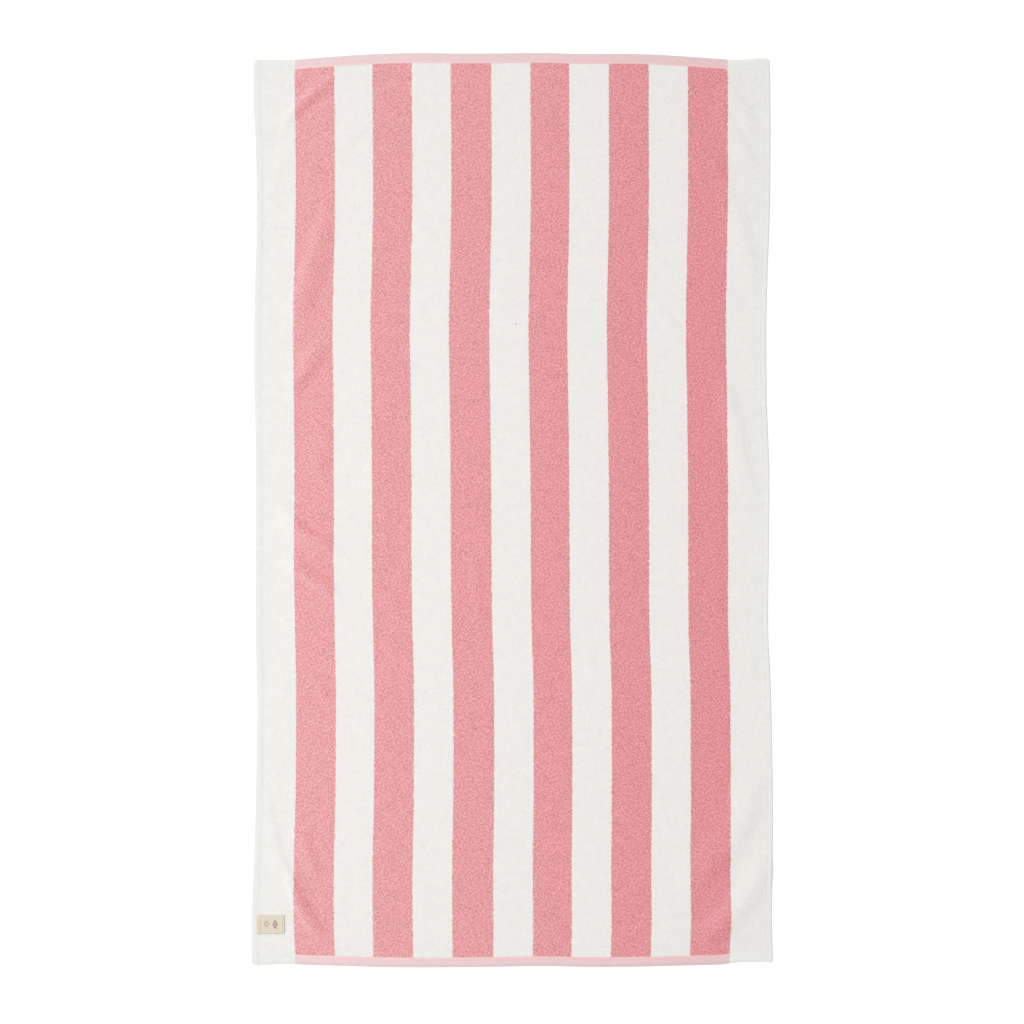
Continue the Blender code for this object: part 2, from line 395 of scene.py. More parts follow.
def grown(name, ground, tree, values):
    """The plain mesh that a Geometry Nodes tree grows on a mesh, as an object of its own."""
    stem = bpy.data.objects.new(name + "_ground", ground)
    bpy.context.scene.collection.objects.link(stem)
    nodes = stem.modifiers.new(name, "NODES")
    nodes.node_group = tree
    for item in tree.interface.items_tree:
        if item.in_out == "INPUT" and item.name in values:
            nodes[item.identifier] = values[item.name]
    seen = stem.evaluated_get(bpy.context.evaluated_depsgraph_get())
    mesh = bpy.data.meshes.new_from_object(seen)
    bpy.data.objects.remove(stem)
    bpy.data.meshes.remove(ground)
    mesh.name = name
    return placed(name, mesh)


def placed(name, mesh):
    piece = bpy.data.objects.new(name, mesh)
    bpy.context.scene.collection.objects.link(piece)
    return piece


def grid_mesh(name, columns, rows, places_of):
    """A grid of cells at the given columns and rows of the cut, with its map of the cut."""
    across, along = (a.ravel() for a in np.meshgrid(columns, rows))
    wide = len(columns)
    start = (np.arange(len(rows) - 1)[:, None] * wide + np.arange(wide - 1)).ravel()
    faces = np.stack([start, start + 1, start + wide + 1, start + wide], -1)
    mesh = bpy.data.meshes.new(name)
    mesh.from_pydata(places_of(across, along).tolist(), [], faces.tolist())
    cut = mesh.uv_layers.new(name="cut")
    cut.uv.foreach_set("vector", np.stack([across, along], -1)[faces.ravel()].ravel())
    mesh.shade_smooth()
    return mesh


def path_mesh(name, places):
    mesh = bpy.data.meshes.new(name)
    mesh.from_pydata(places.tolist(), [(i, i + 1) for i in range(len(places) - 1)], [])
    return mesh


# ---------------------------------------------------------------- what repeats


def pile_tree():
    """A mat of terry: each point of the ground rises and strays by chance, unlike those near it."""
    tree, given, out = new_tree(
        "pile",
        "GeometryNodeTree",
        (
            ("Ground", "NodeSocketGeometry", None),
            ("Foot", "NodeSocketFloat", PILE_FOOT),
            ("Height", "NodeSocketFloat", LOOP_HIGH["rose"]),
            ("Tuck", "NodeSocketFloat", PILE_TUCK),
            ("Stray", "NodeSocketFloat", LOOP_STRAY),
            ("Seed", "NodeSocketInt", 1),
            ("Yarn", "NodeSocketMaterial", None),
        ),
        (("Pile", "NodeSocketGeometry"),),
    )

    def chance(kind, low, high, salt):
        seed = math(tree, "ADD", given["Seed"], float(salt))
        inputs = {"Min": low, "Max": high, "Seed": seed}
        node = add(tree, "FunctionNodeRandomValue", inputs, data_type=kind)
        return next(out for out in node.outputs if out.enabled)

    def keep(geometry, name, value, kind):
        inputs = {"Geometry": geometry, "Name": name, "Value": value}
        node = add(
            tree, "GeometryNodeStoreNamedAttribute", inputs, data_type=kind, domain="POINT"
        )
        return node.outputs[0]

    normal = add(tree, "GeometryNodeInputNormal").outputs[0]
    facing = keep(given["Ground"], "facing", normal, "FLOAT_VECTOR")
    shaded = keep(facing, "shade", chance("FLOAT", 0.0, 1.0, 0), "FLOAT")
    odd = chance("FLOAT", -1.0, 1.0, 1)
    near = add(tree, "GeometryNodeBlurAttribute", {"Value": odd}, data_type="FLOAT").outputs[0]
    apart = math(tree, "SUBTRACT", odd, near)
    tip = math(tree, "MULTIPLY_ADD", apart, LOOP_UNLIKE, 0.5, clamp=True)
    tipped = keep(shaded, "tip", tip, "FLOAT")

    stored = add(tree, "GeometryNodeInputNamedAttribute", {"Name": "tip"}, data_type="FLOAT")
    loop = math(tree, "MULTIPLY_ADD", stored.outputs[0], given["Height"], given["Foot"])
    faces = add(tree, "GeometryNodeInputMeshEdgeNeighbors").outputs["Face Count"]
    # Every edge inside a mat has two faces, so a point's mean falls below that only on its rim
    outermost = math(tree, "LESS_THAN", faces, 1.9)
    down = math(tree, "MULTIPLY", outermost, math(tree, "ADD", loop, given["Tuck"]))
    upwards = {"Vector": normal, "Scale": math(tree, "SUBTRACT", loop, down)}
    up = add(tree, "ShaderNodeVectorMath", upwards, operation="SCALE").outputs[0]
    against = math(tree, "MULTIPLY", given["Stray"], -1.0)
    level = (
        add(tree, "ShaderNodeCombineXYZ", {"X": far, "Y": far}).outputs[0]
        for far in (against, given["Stray"])
    )
    stray = chance("FLOAT_VECTOR", *level, 2)
    away = add(tree, "ShaderNodeVectorMath", {0: up, 1: stray}, operation="ADD").outputs[0]
    mat = add(tree, "GeometryNodeSetPosition", {"Geometry": tipped, "Offset": away})
    cut = add(
        tree,
        "GeometryNodeTriangulate",
        {"Mesh": mat.outputs[0]},
        quad_method="SHORTEST_DIAGONAL",
    )
    real = add(tree, "GeometryNodeRealizeInstances", {"Geometry": cut.outputs[0]})
    worn = add(
        tree,
        "GeometryNodeSetMaterial",
        {"Geometry": real.outputs[0], "Material": given["Yarn"]},
    )
    tree.links.new(worn.outputs[0], out["Pile"])
    return tree


def seam_tree():
    """A row of stitches along a path, each a short pillow of thread."""
    tree, given, out = new_tree(
        "seam",
        "GeometryNodeTree",
        (
            ("Path", "NodeSocketGeometry", None),
            ("Stitch", "NodeSocketFloat", STITCH),
            ("Pitch", "NodeSocketFloat", STITCH_PITCH),
            ("Thread", "NodeSocketFloat", THREAD),
            ("Seed", "NodeSocketInt", 1),
            ("Yarn", "NodeSocketMaterial", None),
        ),
        (("Seam", "NodeSocketGeometry"),),
    )
    path = add(tree, "GeometryNodeMeshToCurve", {"Mesh": given["Path"]})
    spaced = add(
        tree,
        "GeometryNodeResampleCurve",
        {"Curve": path.outputs[0], "Length": given["Pitch"]},
        mode="LENGTH",
    )
    pillow = add(
        tree, "GeometryNodeMeshUVSphere", {"Segments": 6, "Rings": 5, "Radius": 0.5}
    )
    soft = add(tree, "GeometryNodeSetShadeSmooth", {"Geometry": pillow.outputs[0]})
    run = add(tree, "GeometryNodeInputTangent").outputs[0]
    facing = add(
        tree, "FunctionNodeAlignRotationToVector", {"Vector": run}, axis="X", pivot_axis="Z"
    )
    least, most = STITCH_UNEVEN
    unevenness = {"Min": least, "Max": most, "Seed": given["Seed"]}
    odd = add(tree, "FunctionNodeRandomValue", unevenness, data_type="FLOAT")
    uneven = math(tree, "MULTIPLY", given["Stitch"], odd.outputs[1])
    size = add(
        tree,
        "ShaderNodeCombineXYZ",
        {"X": uneven, "Y": given["Thread"], "Z": given["Thread"]},
    )
    stitches = add(
        tree,
        "GeometryNodeInstanceOnPoints",
        {
            "Points": spaced.outputs[0],
            "Instance": soft.outputs[0],
            "Rotation": facing.outputs[0],
            "Scale": size.outputs[0],
        },
    )
    real = add(tree, "GeometryNodeRealizeInstances", {"Geometry": stitches.outputs[0]})
    worn = add(
        tree,
        "GeometryNodeSetMaterial",
        {"Geometry": real.outputs[0], "Material": given["Yarn"]},
    )
    tree.links.new(worn.outputs[0], out["Seam"])
    return tree


# ---------------------------------------------------------------- finishes


def rgb(*levels):
    """A colour from its everyday 0 to 255 levels."""
    c = np.array(levels) / 255
    return (*np.where(c > 0.04045, ((c + 0.055) / 1.055) ** 2.4, c / 12.92).tolist(), 1.0)


ROSE = rgb(211, 133, 139)
ROSE_LIT_LEFT = rgb(220, 154, 157)  # painted light: paler by the left edge, where more light falls
# Painted shade at the loops' roots and painted light on their tips: what each multiplies the colour
# by
ROSE_ROOT_TIP_SHADES = (0.835, 0.625, 0.64, 1.0), (1.195, 1.445, 1.42, 1.0)
WHITE = rgb(223, 221, 217)
# Painted light: the white is paler by the left edge too, where more light falls
WHITE_LIT_LEFT = rgb(225, 224, 220)
HEM_WHITE = rgb(226, 226, 222)
# The same painted shade and light for the white loops
WHITE_ROOT_TIP_SHADES = (0.965, 0.96, 0.955, 1.0), (1.03, 1.03, 1.03, 1.0)
# The end hems' flat weave: at the towel's right and at its left, where it is paler as painted light
BLUSH = rgb(228, 186, 186), rgb(236, 203, 202)  # next to the terry
BLUSH_SHADED_EDGE = rgb(214, 188, 190), rgb(222, 200, 201)  # painted shade: darker and duller at the very edge
THREAD_TAN = rgb(198, 185, 166)
TAPE = rgb(231, 221, 206)
TAPE_SHADE = rgb(204, 191, 171)
BROWN = rgb(115, 94, 73)
FLOOR = rgb(255, 255, 255)
FLOOR_SHADE = rgb(250, 250, 250)
THREAD_SHADE = 0.9  # how dark a thread gets, as a share of its colour
COTTON_SHEEN = 0.10
# How deep the relief of each finish is
LOOP_DEPTH = 0.00012
CLOTH_DEPTH = 0.0002
THREAD_DEPTH = 0.0001
TAPE_DEPTH = 0.00012
FINE_RELIEF = 0.8  # how much the cotton's fine unevenness adds to the weave's height
LOOP_FALL = 1.8  # how steeply a loop falls off from its middle
LOOP_RIM_SHADE = 0.6  # painted shade at each fine loop's rim, beside the shade from loop to loop
# The cloth's shade: how far it differs from place to place, and between the yarns' top and
# their lowest, which has that share of the light
CLOTH_MOTTLED = 0.14
WEAVE_SHADE = 0.06
WEAVE_LOWEST = 0.95
# How much the cloth takes light as flat cloth does, more at its side hems, and less from a
# place in its end hems outwards
CLOTH_EVEN = 0.65
SIDE_EVEN = 0.25
RIM_FROM = 0.6  # 0 next to the terry, 1 at the very edge
RIM_SHARP = 6.0  # how sharply that falls off from there
TAPE_MOTTLED = 0.5  # how much of its shade the tape takes on from place to place
END_PALER = 0.5  # how much paler the towel's ends are made, times the square of the place along it


def mottle_group():
    """Slow and fine unevenness of cotton, both from 0 to 1."""
    tree, given, out = new_tree(
        "mottle",
        "ShaderNodeTree",
        (
            ("Place", "NodeSocketVector", None),
            ("Slow Size", "NodeSocketFloat", 0.060),
            ("Fine Size", "NodeSocketFloat", 0.0012),
        ),
        (("Slow", "NodeSocketFloat"), ("Fine", "NodeSocketFloat")),
    )
    for label, detail in (("Slow", 3.0), ("Fine", 2.0)):
        scale = math(tree, "DIVIDE", 1.0, given[label + " Size"])
        noise = add(
            tree,
            "ShaderNodeTexNoise",
            {"Vector": given["Place"], "Scale": scale, "Detail": detail, "Roughness": 0.6},
        )
        tree.links.new(noise.outputs["Fac"], out[label])
    return tree


def weave_group():
    """Plain weave on a flat place: how high the yarn stands, from 0 to 1."""
    tree, given, out = new_tree(
        "plain_weave",
        "ShaderNodeTree",
        (
            ("Place", "NodeSocketVector", None),
            ("Pitch", "NodeSocketFloat", 0.0011),
        ),
        (("Height", "NodeSocketFloat"),),
    )
    place = add(tree, "ShaderNodeSeparateXYZ", {0: given["Place"]}).outputs
    waves = []
    for axis in "XY":
        turns = math(tree, "DIVIDE", place[axis], given["Pitch"])
        waves.append(math(tree, "SINE", math(tree, "MULTIPLY", turns, np.pi)))
    over = math(tree, "MULTIPLY", *waves)
    height = math(tree, "MULTIPLY_ADD", over, 0.5, 0.5)
    tree.links.new(height, out["Height"])
    return tree


def loops_group():
    """Loops of terry yarn, close together and a little curled: their height, from 0 to 1."""
    tree, given, out = new_tree(
        "terry_loops",
        "ShaderNodeTree",
        (
            ("Place", "NodeSocketVector", None),
            ("Loop Size", "NodeSocketFloat", 0.0014),
            ("Curl", "NodeSocketFloat", 0.0010),
        ),
        (("Height", "NodeSocketFloat"),),
    )
    scale = math(tree, "DIVIDE", 1.0, given["Loop Size"])
    half = math(tree, "MULTIPLY", scale, 0.5)
    curls = add(tree, "ShaderNodeTexNoise", {"Vector": given["Place"], "Scale": half})
    aside = add(
        tree,
        "ShaderNodeVectorMath",
        {0: curls.outputs["Color"], 1: (0.5, 0.5, 0.5)},
        operation="SUBTRACT",
    )
    swing = add(
        tree,
        "ShaderNodeVectorMath",
        {"Vector": aside.outputs[0], "Scale": given["Curl"]},
        operation="SCALE",
    )
    bent = add(
        tree, "ShaderNodeVectorMath", {0: given["Place"], 1: swing.outputs[0]}, operation="ADD"
    )
    cells = add(
        tree,
        "ShaderNodeTexVoronoi",
        {"Vector": bent.outputs[0], "Scale": scale, "Smoothness": 0.5, "Randomness": 0.9},
        voronoi_dimensions="2D",
        feature="SMOOTH_F1",
    )
    away = math(tree, "POWER", cells.outputs["Distance"], 2.0)
    height = math(tree, "MULTIPLY_ADD", away, -LOOP_FALL, 1.0, clamp=True)
    tree.links.new(height, out["Height"])
    return tree


def painted_light_group():
    """Painted light: how much paler a place is, 0 at the right to 1 at the left, more at the ends.
    """
    tree, given, out = new_tree(
        "painted_left_light",
        "ShaderNodeTree",
        (
            ("Place", "NodeSocketVector", None),
            ("Width", "NodeSocketFloat", WIDTH),
            ("Length", "NodeSocketFloat", LENGTH),
        ),
        (("Fade", "NodeSocketFloat"),),
    )
    place = add(tree, "ShaderNodeSeparateXYZ", {0: given["Place"]}).outputs
    across = math(tree, "SUBTRACT", 0.5, math(tree, "DIVIDE", place["X"], given["Width"]))
    along = math(tree, "POWER", math(tree, "DIVIDE", place["Y"], given["Length"]), 2.0)
    fade = math(tree, "MULTIPLY_ADD", along, END_PALER, across, clamp=True)
    tree.links.new(fade, out["Fade"])
    return tree


def lozenge_group():
    """A plain lozenge with a small heart on a flat place: 1 where it shows, and 0 elsewhere."""
    sizes = ("Right", "Up", "Wide", "High")
    tree, given, out = new_tree(
        "lozenge",
        "ShaderNodeTree",
        (
            ("Place", "NodeSocketVector", None),
            *((size, "NodeSocketFloat", 0.01) for size in sizes),
        ),
        (("Shape", "NodeSocketFloat"),),
    )
    place = add(tree, "ShaderNodeSeparateXYZ", {0: given["Place"]}).outputs
    parts = []
    for axis, middle, size in (("X", "Right", "Wide"), ("Y", "Up", "High")):
        off = math(tree, "ABSOLUTE", math(tree, "SUBTRACT", place[axis], given[middle]))
        parts.append(math(tree, "DIVIDE", math(tree, "MULTIPLY", off, 2.0), given[size]))
    out_from_middle = math(tree, "ADD", *parts)
    off_line = math(tree, "ABSOLUTE", math(tree, "SUBTRACT", out_from_middle, LOZENGE_LINE))
    line = math(tree, "MULTIPLY_ADD", off_line, -LINE_SHARP, LOZENGE_FULL, clamp=True)
    sharp = -HEART_SHARP
    heart = math(tree, "MULTIPLY_ADD", out_from_middle, sharp, LOZENGE_FULL, clamp=True)
    tree.links.new(math(tree, "MAXIMUM", line, heart), out["Shape"])
    return tree


def group(tree, group_tree, inputs):
    return add(tree, "ShaderNodeGroup", inputs, node_tree=group_tree).outputs


def new_material(name, rough):
    """A material with one roughness all over, its tree and its shader."""
    material = bpy.data.materials.new(name)
    material.use_nodes = True
    shader = material.node_tree.nodes["Principled BSDF"]
    shader.inputs["Roughness"].default_value = rough
    return material, material.node_tree, shader


def bump(tree, shader, height, depth, normal=None):
    node = add(tree, "ShaderNodeBump", {"Height": height, "Distance": depth})
    if normal:
        tree.links.new(normal, node.inputs["Normal"])
    tree.links.new(node.outputs[0], shader.inputs["Normal"])


def turned(tree, share, first, second):
    """A normal between two."""
    inputs = {"Factor": share, "A": first, "B": second}
    mixed = add(tree, "ShaderNodeMix", inputs, data_type="VECTOR").outputs[1]
    return add(tree, "ShaderNodeVectorMath", {0: mixed}, operation="NORMALIZE").outputs[0]


def levelled(tree, share, own):
    """A normal turned towards straight up, or straight down on an underside."""
    up = add(tree, "ShaderNodeSeparateXYZ", {0: own}).outputs["Z"]
    level = add(tree, "ShaderNodeCombineXYZ", {"Z": math(tree, "SIGN", up)}).outputs[0]
    return turned(tree, share, own, level)


def dimmed(tree, colour, light):
    """A colour made lighter or darker by a number that changes over the surface."""
    grey = add(tree, "ShaderNodeCombineColor", {0: light, 1: light, 2: light}).outputs[0]
    return mix(tree, 1.0, colour, grey, "MULTIPLY")


def pile_yarn(name, colours, root_tip_shades, uneven, mottled, soft, even, right_slope_shade):
    """Terry yarn: painted shade at its loops' roots, and painted light on their tips and to the
    left.

    The colours are the yarn's own and a paler one, painted light towards the left, and
    root_tip_shades are what its roots and tips multiply them by, as painted shade and painted
    light.
    uneven is how far the shades differ from loop to loop, and mottled from place to place. The
    fibres stand every way and pass light on, so a loop takes light much as the cloth under it
    would, and a fold much as flat cloth would: soft and even are how much. Cloth that slopes to the
    right, away from the light, gets a deeper colour as painted shade, and right_slope_shade is how
    much.
    """
    material, tree, shader = new_material(name, rough=0.92)
    material.cycles.use_bump_map_correction = False
    shader.inputs["Sheen Weight"].default_value = COTTON_SHEEN
    place = add(tree, "ShaderNodeTexCoord").outputs["Object"]
    cotton = group(tree, MOTTLE, {"Place": place, "Slow Size": 0.020})
    loops = group(tree, LOOPS, {"Place": place})["Height"]
    fade = group(tree, LEFT_LIGHT_PAINT, {"Place": place})["Fade"]
    tips = add(tree, "ShaderNodeAttribute", attribute_name="tip").outputs["Fac"]
    shade = add(tree, "ShaderNodeAttribute", attribute_name="shade").outputs["Fac"]
    # Painted light: paler towards the left; painted shade at the loops' roots and painted light on
    # their tips
    colour = mix(tree, 1.0, mix(tree, fade, *colours), mix(tree, tips, *root_tip_shades), "MULTIPLY")
    # Painted shade: cloth that slopes to the right, away from the light, is made a deeper rose
    facing = add(tree, "ShaderNodeAttribute", attribute_name="facing").outputs["Vector"]
    to_right = add(tree, "ShaderNodeSeparateXYZ", {0: facing}).outputs["X"]
    pale = math(tree, "MULTIPLY_ADD", to_right, -right_slope_shade, 1.0)
    painted_slope_shade = add(tree, "ShaderNodeCombineColor", {0: 1.0, 1: pale, 2: pale}).outputs[0]
    colour = mix(tree, 1.0, colour, painted_slope_shade, "MULTIPLY")
    light = speck_shade(tree, place)
    # The yarn's own tone differs at random from loop to loop and from place to place; the fine
    # loops' rims get painted shade
    shades = ((shade, uneven), (loops, LOOP_RIM_SHADE * uneven), (cotton["Slow"], mottled))
    for value, part in shades:
        some = math(tree, "MULTIPLY_ADD", value, part, 1 - part / 2)
        light = math(tree, "MULTIPLY", light, some)
    tree.links.new(dimmed(tree, colour, light), shader.inputs["Base Color"])
    own = add(tree, "ShaderNodeNewGeometry").outputs["Normal"]
    normal = levelled(tree, even, turned(tree, soft, own, facing))
    bump(tree, shader, loops, LOOP_DEPTH, normal)
    return material


def speck_shade(tree, place):
    """What the speck leaves of the light that falls on a place."""
    flat = add(tree, "ShaderNodeVectorMath", {0: place, 1: (1, 1, 0)}, operation="MULTIPLY")
    middle = {0: flat.outputs[0], 1: (*SPECK, 0.0)}
    away = add(tree, "ShaderNodeVectorMath", middle, operation="DISTANCE").outputs["Value"]
    steep = (1 - SPECK_LIGHT) / SPECK_SIZE
    return math(tree, "MULTIPLY_ADD", away, steep, SPECK_LIGHT, clamp=True)


def striped_cloth():
    """The ground of the terry in its stripes, and the flat-woven hems at both ends."""
    material, tree, shader = new_material("striped_cloth", rough=0.9)
    material.cycles.use_bump_map_correction = False
    shader.inputs["Sheen Weight"].default_value = COTTON_SHEEN
    cut = add(tree, "ShaderNodeUVMap", uv_map="cut").outputs[0]
    place = add(tree, "ShaderNodeSeparateXYZ", {0: cut}).outputs
    object_place = add(tree, "ShaderNodeTexCoord").outputs["Object"]
    cotton = group(tree, MOTTLE, {"Place": object_place, "Slow Size": 0.006})
    weave = group(tree, WEAVE, {"Place": cut})

    passed = [math(tree, "GREATER_THAN", place["X"], border) for border in borders()[1:-1]]
    count = passed[0]
    for one in passed[1:]:
        count = math(tree, "ADD", count, one)
    rose = math(tree, "MODULO", count, 2.0)
    between = math(tree, "SUBTRACT", passed[0], passed[-1])

    end = math(tree, "ABSOLUTE", place["Y"])
    in_end = math(tree, "GREATER_THAN", end, LENGTH / 2 - END_HEM)
    side = math(tree, "ABSOLUTE", place["X"])
    in_side = math(tree, "GREATER_THAN", side, WIDTH / 2 - SIDE_HEM)
    outwards = math(tree, "SUBTRACT", end, LENGTH / 2 - END_HEM)
    outer = math(tree, "DIVIDE", outwards, END_HEM, clamp=True)

    # Painted light: the rose and the end hems' blush are paler towards the left
    fade = group(tree, LEFT_LIGHT_PAINT, {"Place": cut})["Fade"]
    terry = mix(tree, rose, WHITE, mix(tree, fade, ROSE, ROSE_LIT_LEFT))
    # Painted shade: the blush is darker towards the end hems' very edge
    blush = mix(tree, outer, mix(tree, fade, *BLUSH), mix(tree, fade, *BLUSH_SHADED_EDGE))
    flat = mix(tree, between, HEM_WHITE, blush)
    colour = mix(tree, in_side, terry, HEM_WHITE)
    colour = mix(tree, in_end, colour, flat)
    dull = math(tree, "MULTIPLY_ADD", cotton["Slow"], CLOTH_MOTTLED, 1 - CLOTH_MOTTLED / 2)
    # Painted shade: the weave's lowest yarn is darker
    weave_hollow_shade = math(tree, "MULTIPLY_ADD", weave["Height"], WEAVE_SHADE, WEAVE_LOWEST)
    colour = dimmed(tree, colour, math(tree, "MULTIPLY", dull, weave_hollow_shade))
    tree.links.new(colour, shader.inputs["Base Color"])
    relief = math(tree, "MULTIPLY_ADD", cotton["Fine"], FINE_RELIEF, weave["Height"])
    own = add(tree, "ShaderNodeNewGeometry").outputs["Normal"]
    rim = math(tree, "MULTIPLY_ADD", outer, RIM_SHARP, -RIM_SHARP * RIM_FROM, clamp=True)
    inside_rim = math(tree, "MULTIPLY_ADD", rim, -CLOTH_EVEN, CLOTH_EVEN)
    even = math(tree, "MULTIPLY_ADD", in_side, SIDE_EVEN, inside_rim)
    bump(tree, shader, relief, CLOTH_DEPTH, levelled(tree, even, own))
    return material


def thread_finish(name, colour):
    """Cotton sewing thread."""
    material, tree, shader = new_material(name, rough=0.7)
    place = add(tree, "ShaderNodeTexCoord").outputs["Object"]
    cotton = group(tree, MOTTLE, {"Place": place, "Fine Size": 0.0005})
    darker = tuple(THREAD_SHADE * c for c in colour[:3]) + (1.0,)
    tree.links.new(mix(tree, cotton["Fine"], darker, colour), shader.inputs["Base Color"])
    bump(tree, shader, cotton["Fine"], THREAD_DEPTH)
    return material


def tape_finish():
    """Cream tape in a fine plain weave."""
    material, tree, shader = new_material("woven_tape", rough=0.75)
    cut = add(tree, "ShaderNodeUVMap", uv_map="cut").outputs[0]
    weave = group(tree, WEAVE, {"Place": cut, "Pitch": 0.0006})
    place = add(tree, "ShaderNodeTexCoord").outputs["Object"]
    cotton = group(tree, MOTTLE, {"Place": place, "Slow Size": 0.010})
    woven = mix(tree, weave["Height"], TAPE_SHADE, TAPE)
    shaded = math(tree, "MULTIPLY", cotton["Slow"], TAPE_MOTTLED)
    colour = mix(tree, shaded, woven, TAPE_SHADE)
    for right, up, wide, high, dark in LOZENGES:
        inputs = {
            "Place": place,
            "Right": LABEL_MIDDLE[0] + right * MM,
            "Up": LABEL_MIDDLE[1] + up * MM,
            "Wide": wide * MM,
            "High": high * MM,
        }
        shape = group(tree, LOZENGE, inputs)["Shape"]
        colour = mix(tree, math(tree, "MULTIPLY", shape, dark), colour, BROWN)
    tree.links.new(colour, shader.inputs["Base Color"])
    bump(tree, shader, weave["Height"], TAPE_DEPTH)
    return material


def floor_finish():
    material, tree, shader = new_material("pale_floor", rough=0.9)
    place = add(tree, "ShaderNodeTexCoord").outputs["Object"]
    cotton = group(tree, MOTTLE, {"Place": place, "Slow Size": 0.8})
    pale = mix(tree, cotton["Slow"], FLOOR_SHADE, FLOOR)
    tree.links.new(pale, shader.inputs["Base Color"])
    shader.inputs["Specular IOR Level"].default_value = 0.0
    return material


# ---------------------------------------------------------------- the pieces


def stations(half, section, cell):
    """Lines across the cut: at each place of its hem's section, then at even cells."""
    from_edge = np.array([row[0] for row in section]) * MM
    count = round(2 * (half - from_edge[-1]) / cell)
    inside = np.linspace(-half + from_edge[-1], half - from_edge[-1], count + 1)
    return np.concatenate([from_edge - half, inside[1:-1], (half - from_edge)[::-1]])


def make_cloth():
    """The closed sheet: a grid on its underside, made as thick as its ground and hems are."""
    columns = stations(WIDTH / 2, SIDE_SECTION, CELL)
    rows = stations(LENGTH / 2, END_SECTION, CELL)
    cloth = placed("towel_cloth", grid_mesh("towel_cloth", columns, rows, underside))
    across, along = (a.ravel() for a in np.meshgrid(columns, rows))
    thick = thickness(across, along)
    share = cloth.vertex_groups.new(name="thickness")
    for i, weight in enumerate(thick / thick.max()):
        share.add([i], float(weight), "REPLACE")
    body = cloth.modifiers.new("cloth", "SOLIDIFY")
    body.thickness = float(thick.max())
    body.offset = 1.0
    body.vertex_group = share.name
    cloth.data.materials.append(striped_cloth())
    return cloth


def make_pile(tree, yarns):
    """A mat of loops for each stripe, tucked under its neighbours all round."""
    mats = []
    edges = borders()
    edges[0] += SIDE_HEM
    edges[-1] -= SIDE_HEM
    half = LENGTH / 2 - END_HEM + PILE_REACH
    rows = np.linspace(-half, half, round(2 * half / LOOP_ALONG) + 1)
    for i, (left, right) in enumerate(zip(edges[:-1], edges[1:], strict=True)):
        colour = "rose" if i % 2 else "white"
        start, end = left - LOOP_ACROSS, right + LOOP_ACROSS
        columns = np.linspace(start, end, round((end - start) / LOOP_ACROSS) + 1)
        name = f"pile_{colour}_{i // 2 + 1}"
        ground = grid_mesh(name + "_ground", columns, rows, face_up)
        values = {"Height": LOOP_HIGH[colour], "Seed": 10 * i, "Yarn": yarns[colour]}
        mats.append(grown(name, ground, tree, values))
    return mats


def make_seams(tree, threads):
    """A row of stitches round each hem: blush between the end hems' white parts, else white."""
    seams = []
    end, side = LENGTH / 2 - END_SEAM, WIDTH / 2 - SIDE_SEAM
    first, last = borders()[1], borders()[-2]
    parts = (
        ("left", "white", -side, first),
        ("middle", "blush", first, last),
        ("right", "white", last, side),
    )
    runs = [
        ("seam_left", "white", (-side, -side), (-end, end)),
        ("seam_right", "white", (side, side), (-end, end)),
    ]
    for hem, along in (("head", end), ("foot", -end)):
        for part, colour, start, stop in parts:
            runs.append((f"seam_{hem}_{part}", colour, (start, stop), (along, along)))
    for seed, (name, colour, across, along) in enumerate(runs):
        count = round(np.hypot(np.ptp(across), np.ptp(along)) / CELL * 2)
        places = face_up(np.linspace(*across, count), np.linspace(*along, count))
        values = {"Seed": seed, "Yarn": threads[colour]}
        seams.append(grown(name, path_mesh(name + "_path", places), tree, values))
    return seams


def make_label():
    """The tape: a strip that comes from under one end, over the top and under the other."""
    half = LABEL_SIZE[0] / 2
    low, high = LABEL_BASE + LABEL_TAPE / 2, LABEL_BASE + LABEL_HIGH - LABEL_TAPE / 2
    bend = (high - low) / 2
    turn = np.linspace(-np.pi / 2, np.pi / 2, LABEL_STEPS["bend"])
    left = [(-half + bend - bend * np.cos(a), low + bend + bend * np.sin(a)) for a in turn]
    flat = np.linspace(-half + bend, half - bend, LABEL_STEPS["top"])
    top = [(x, high) for x in flat[1:-1]]
    right = [(-x, z) for x, z in left[::-1]]
    back = np.linspace(1.0, LABEL_BEND, LABEL_STEPS["under"])
    under = [(-half + LABEL_TURN * t, low) for t in back]
    section = np.array([*under, *left, *top, *right, *((-x, z) for x, z in under[::-1])])
    run = np.concatenate([[0], np.cumsum(np.linalg.norm(np.diff(section, axis=0), axis=1))])
    seam = np.min([np.abs(section[:, 0] - across) for across in LABEL_SEAMS], axis=0)
    on_top = section[:, 1] > high - bend / 2
    dip = LABEL_DIP * np.exp(-((seam / LABEL_DIP_REACH) ** 2))
    section[:, 1] -= np.where(on_top, dip, 0.0)
    inside = np.clip((half - LABEL_TURN - np.abs(section[:, 0])) / LABEL_SAG_RUN, 0.0, 1.0)
    section[:, 1] -= np.where(on_top, LABEL_SAG * inside, 0.0)

    def tape_places(across, along):
        x, z = (np.interp(across, run, axis) for axis in section.T)
        waves = x * LABEL_WAVES[0] + along * LABEL_WAVES[1]
        wave = LABEL_WAVE * np.sin(waves) * (z > high - bend)
        return np.stack([x + LABEL_MIDDLE[0], along + LABEL_MIDDLE[1], z + wave], -1)

    rows = np.linspace(-LABEL_SIZE[1] / 2, LABEL_SIZE[1] / 2, LABEL_STEPS["along"])
    tape = placed("label_tape", grid_mesh("label_tape", run, rows, tape_places))
    body = tape.modifiers.new("tape", "SOLIDIFY")
    body.thickness = LABEL_TAPE
    body.offset = 0.0
    tape.data.materials.append(tape_finish())
    return tape


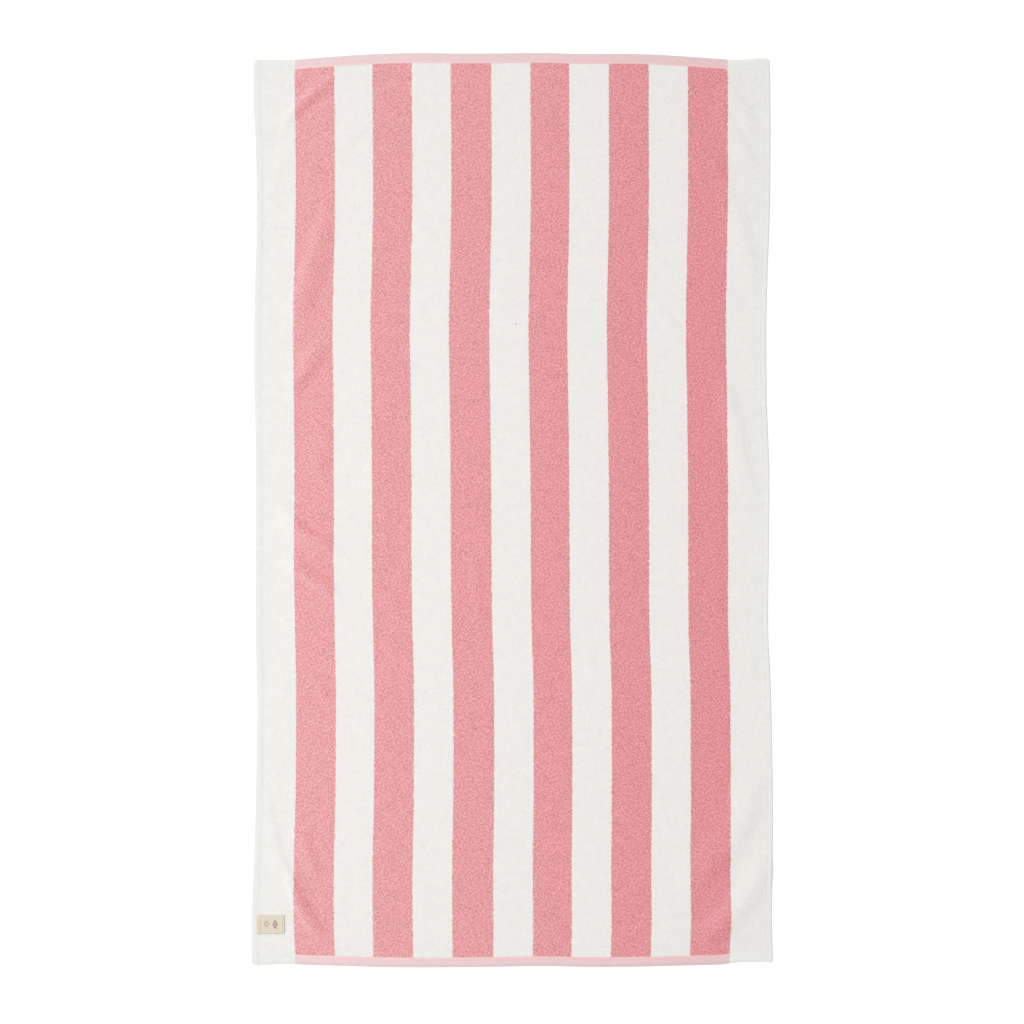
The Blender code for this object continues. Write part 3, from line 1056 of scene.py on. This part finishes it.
def make_label_seams(tree, thread):
    """The two rows of stitches that hold the label."""
    seams = []
    top = LABEL_BASE + LABEL_HIGH - LABEL_DIP
    reach = LABEL_SIZE[1] / 2 - LABEL_SEAM_END
    for seed, (side, across) in enumerate(zip(("left", "right"), LABEL_SEAMS, strict=True)):
        up = np.linspace(-reach, reach, LABEL_STEPS["seam"])
        x = np.full(len(up), LABEL_MIDDLE[0] + across)
        places = np.stack([x, LABEL_MIDDLE[1] + up, np.full(len(up), top)], -1)
        name = f"seam_label_{side}"
        values = {"Seed": seed, "Yarn": thread}
        seams.append(grown(name, path_mesh(name + "_path", places), tree, values))
    return seams


# ---------------------------------------------------------------- the room


def make_floor():
    mesh = bpy.data.meshes.new("floor")
    sheet = bmesh.new()
    bmesh.ops.create_grid(sheet, x_segments=1, y_segments=1, size=FLOOR_SIZE / 2)
    sheet.to_mesh(mesh)
    sheet.free()
    floor = placed("floor", mesh)
    mesh.materials.append(floor_finish())


def make_light(name, kind, place, **settings):
    lamp = bpy.data.lights.new(name, kind)
    for setting, value in settings.items():
        setattr(lamp, setting, value)
    light = bpy.data.objects.new(name, lamp)
    light.location = place
    aim = -light.location
    light.rotation_euler = aim.to_track_quat("-Z", "Y").to_euler()
    bpy.context.scene.collection.objects.link(light)


def make_room():
    scene = bpy.context.scene
    make_floor()
    world = bpy.data.worlds.new("studio")
    world.use_nodes = True
    sky = world.node_tree.nodes["Background"]
    sky.inputs["Color"].default_value = (1, 1, 1, 1)
    sky.inputs["Strength"].default_value = SKY
    scene.world = world
    make_light("high_lamp", "SUN", (-2.85, 1.15, 3.6), energy=1.40, angle=radians(26))
    make_light("window", "AREA", (-3.0, -0.1, 2.0), energy=28, size=1.6)
    cone = {"spot_size": radians(44), "spot_blend": 1.0, "shadow_soft_size": 0.5}
    make_light("top_lamp", "SPOT", (0.0, -0.1, 4.6), energy=90, **cone)

    camera = bpy.data.cameras.new("overhead")
    camera.lens = LENS_MM
    camera.sensor_width = SENSOR_MM
    eye = bpy.data.objects.new("overhead", camera)
    eye.location = (*VIEW_MIDDLE, VIEW_WIDTH * LENS_MM / SENSOR_MM)
    scene.collection.objects.link(eye)
    scene.camera = eye
    scene.view_settings.view_transform = "Standard"


MOTTLE = mottle_group()
WEAVE = weave_group()
LOOPS = loops_group()
LEFT_LIGHT_PAINT = painted_light_group()
LOZENGE = lozenge_group()

cloth = make_cloth()
yarns = {
    "rose": pile_yarn(
        "rose_pile",
        (ROSE, ROSE_LIT_LEFT),
        ROSE_ROOT_TIP_SHADES,
        uneven=0.12,
        mottled=0.10,
        soft=0.85,
        even=0.35,
        right_slope_shade=0.38,
    ),
    "white": pile_yarn(
        "white_pile",
        (WHITE, WHITE_LIT_LEFT),
        WHITE_ROOT_TIP_SHADES,
        uneven=0.045,
        mottled=0.075,
        soft=0.75,
        even=0.50,
        right_slope_shade=0.0,
    ),
}
threads = {
    "blush": thread_finish("blush_thread", BLUSH[0]),
    "white": thread_finish("white_thread", HEM_WHITE),
}
pile = make_pile(pile_tree(), yarns)
stitching = seam_tree()
seams = make_seams(stitching, threads)
label = make_label()
label_seams = make_label_seams(stitching, thread_finish("tan_thread", THREAD_TAN))
make_room()

for piece in (cloth, label, *pile, *seams, *label_seams):
    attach(piece, "root")
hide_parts("towel")
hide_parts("label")
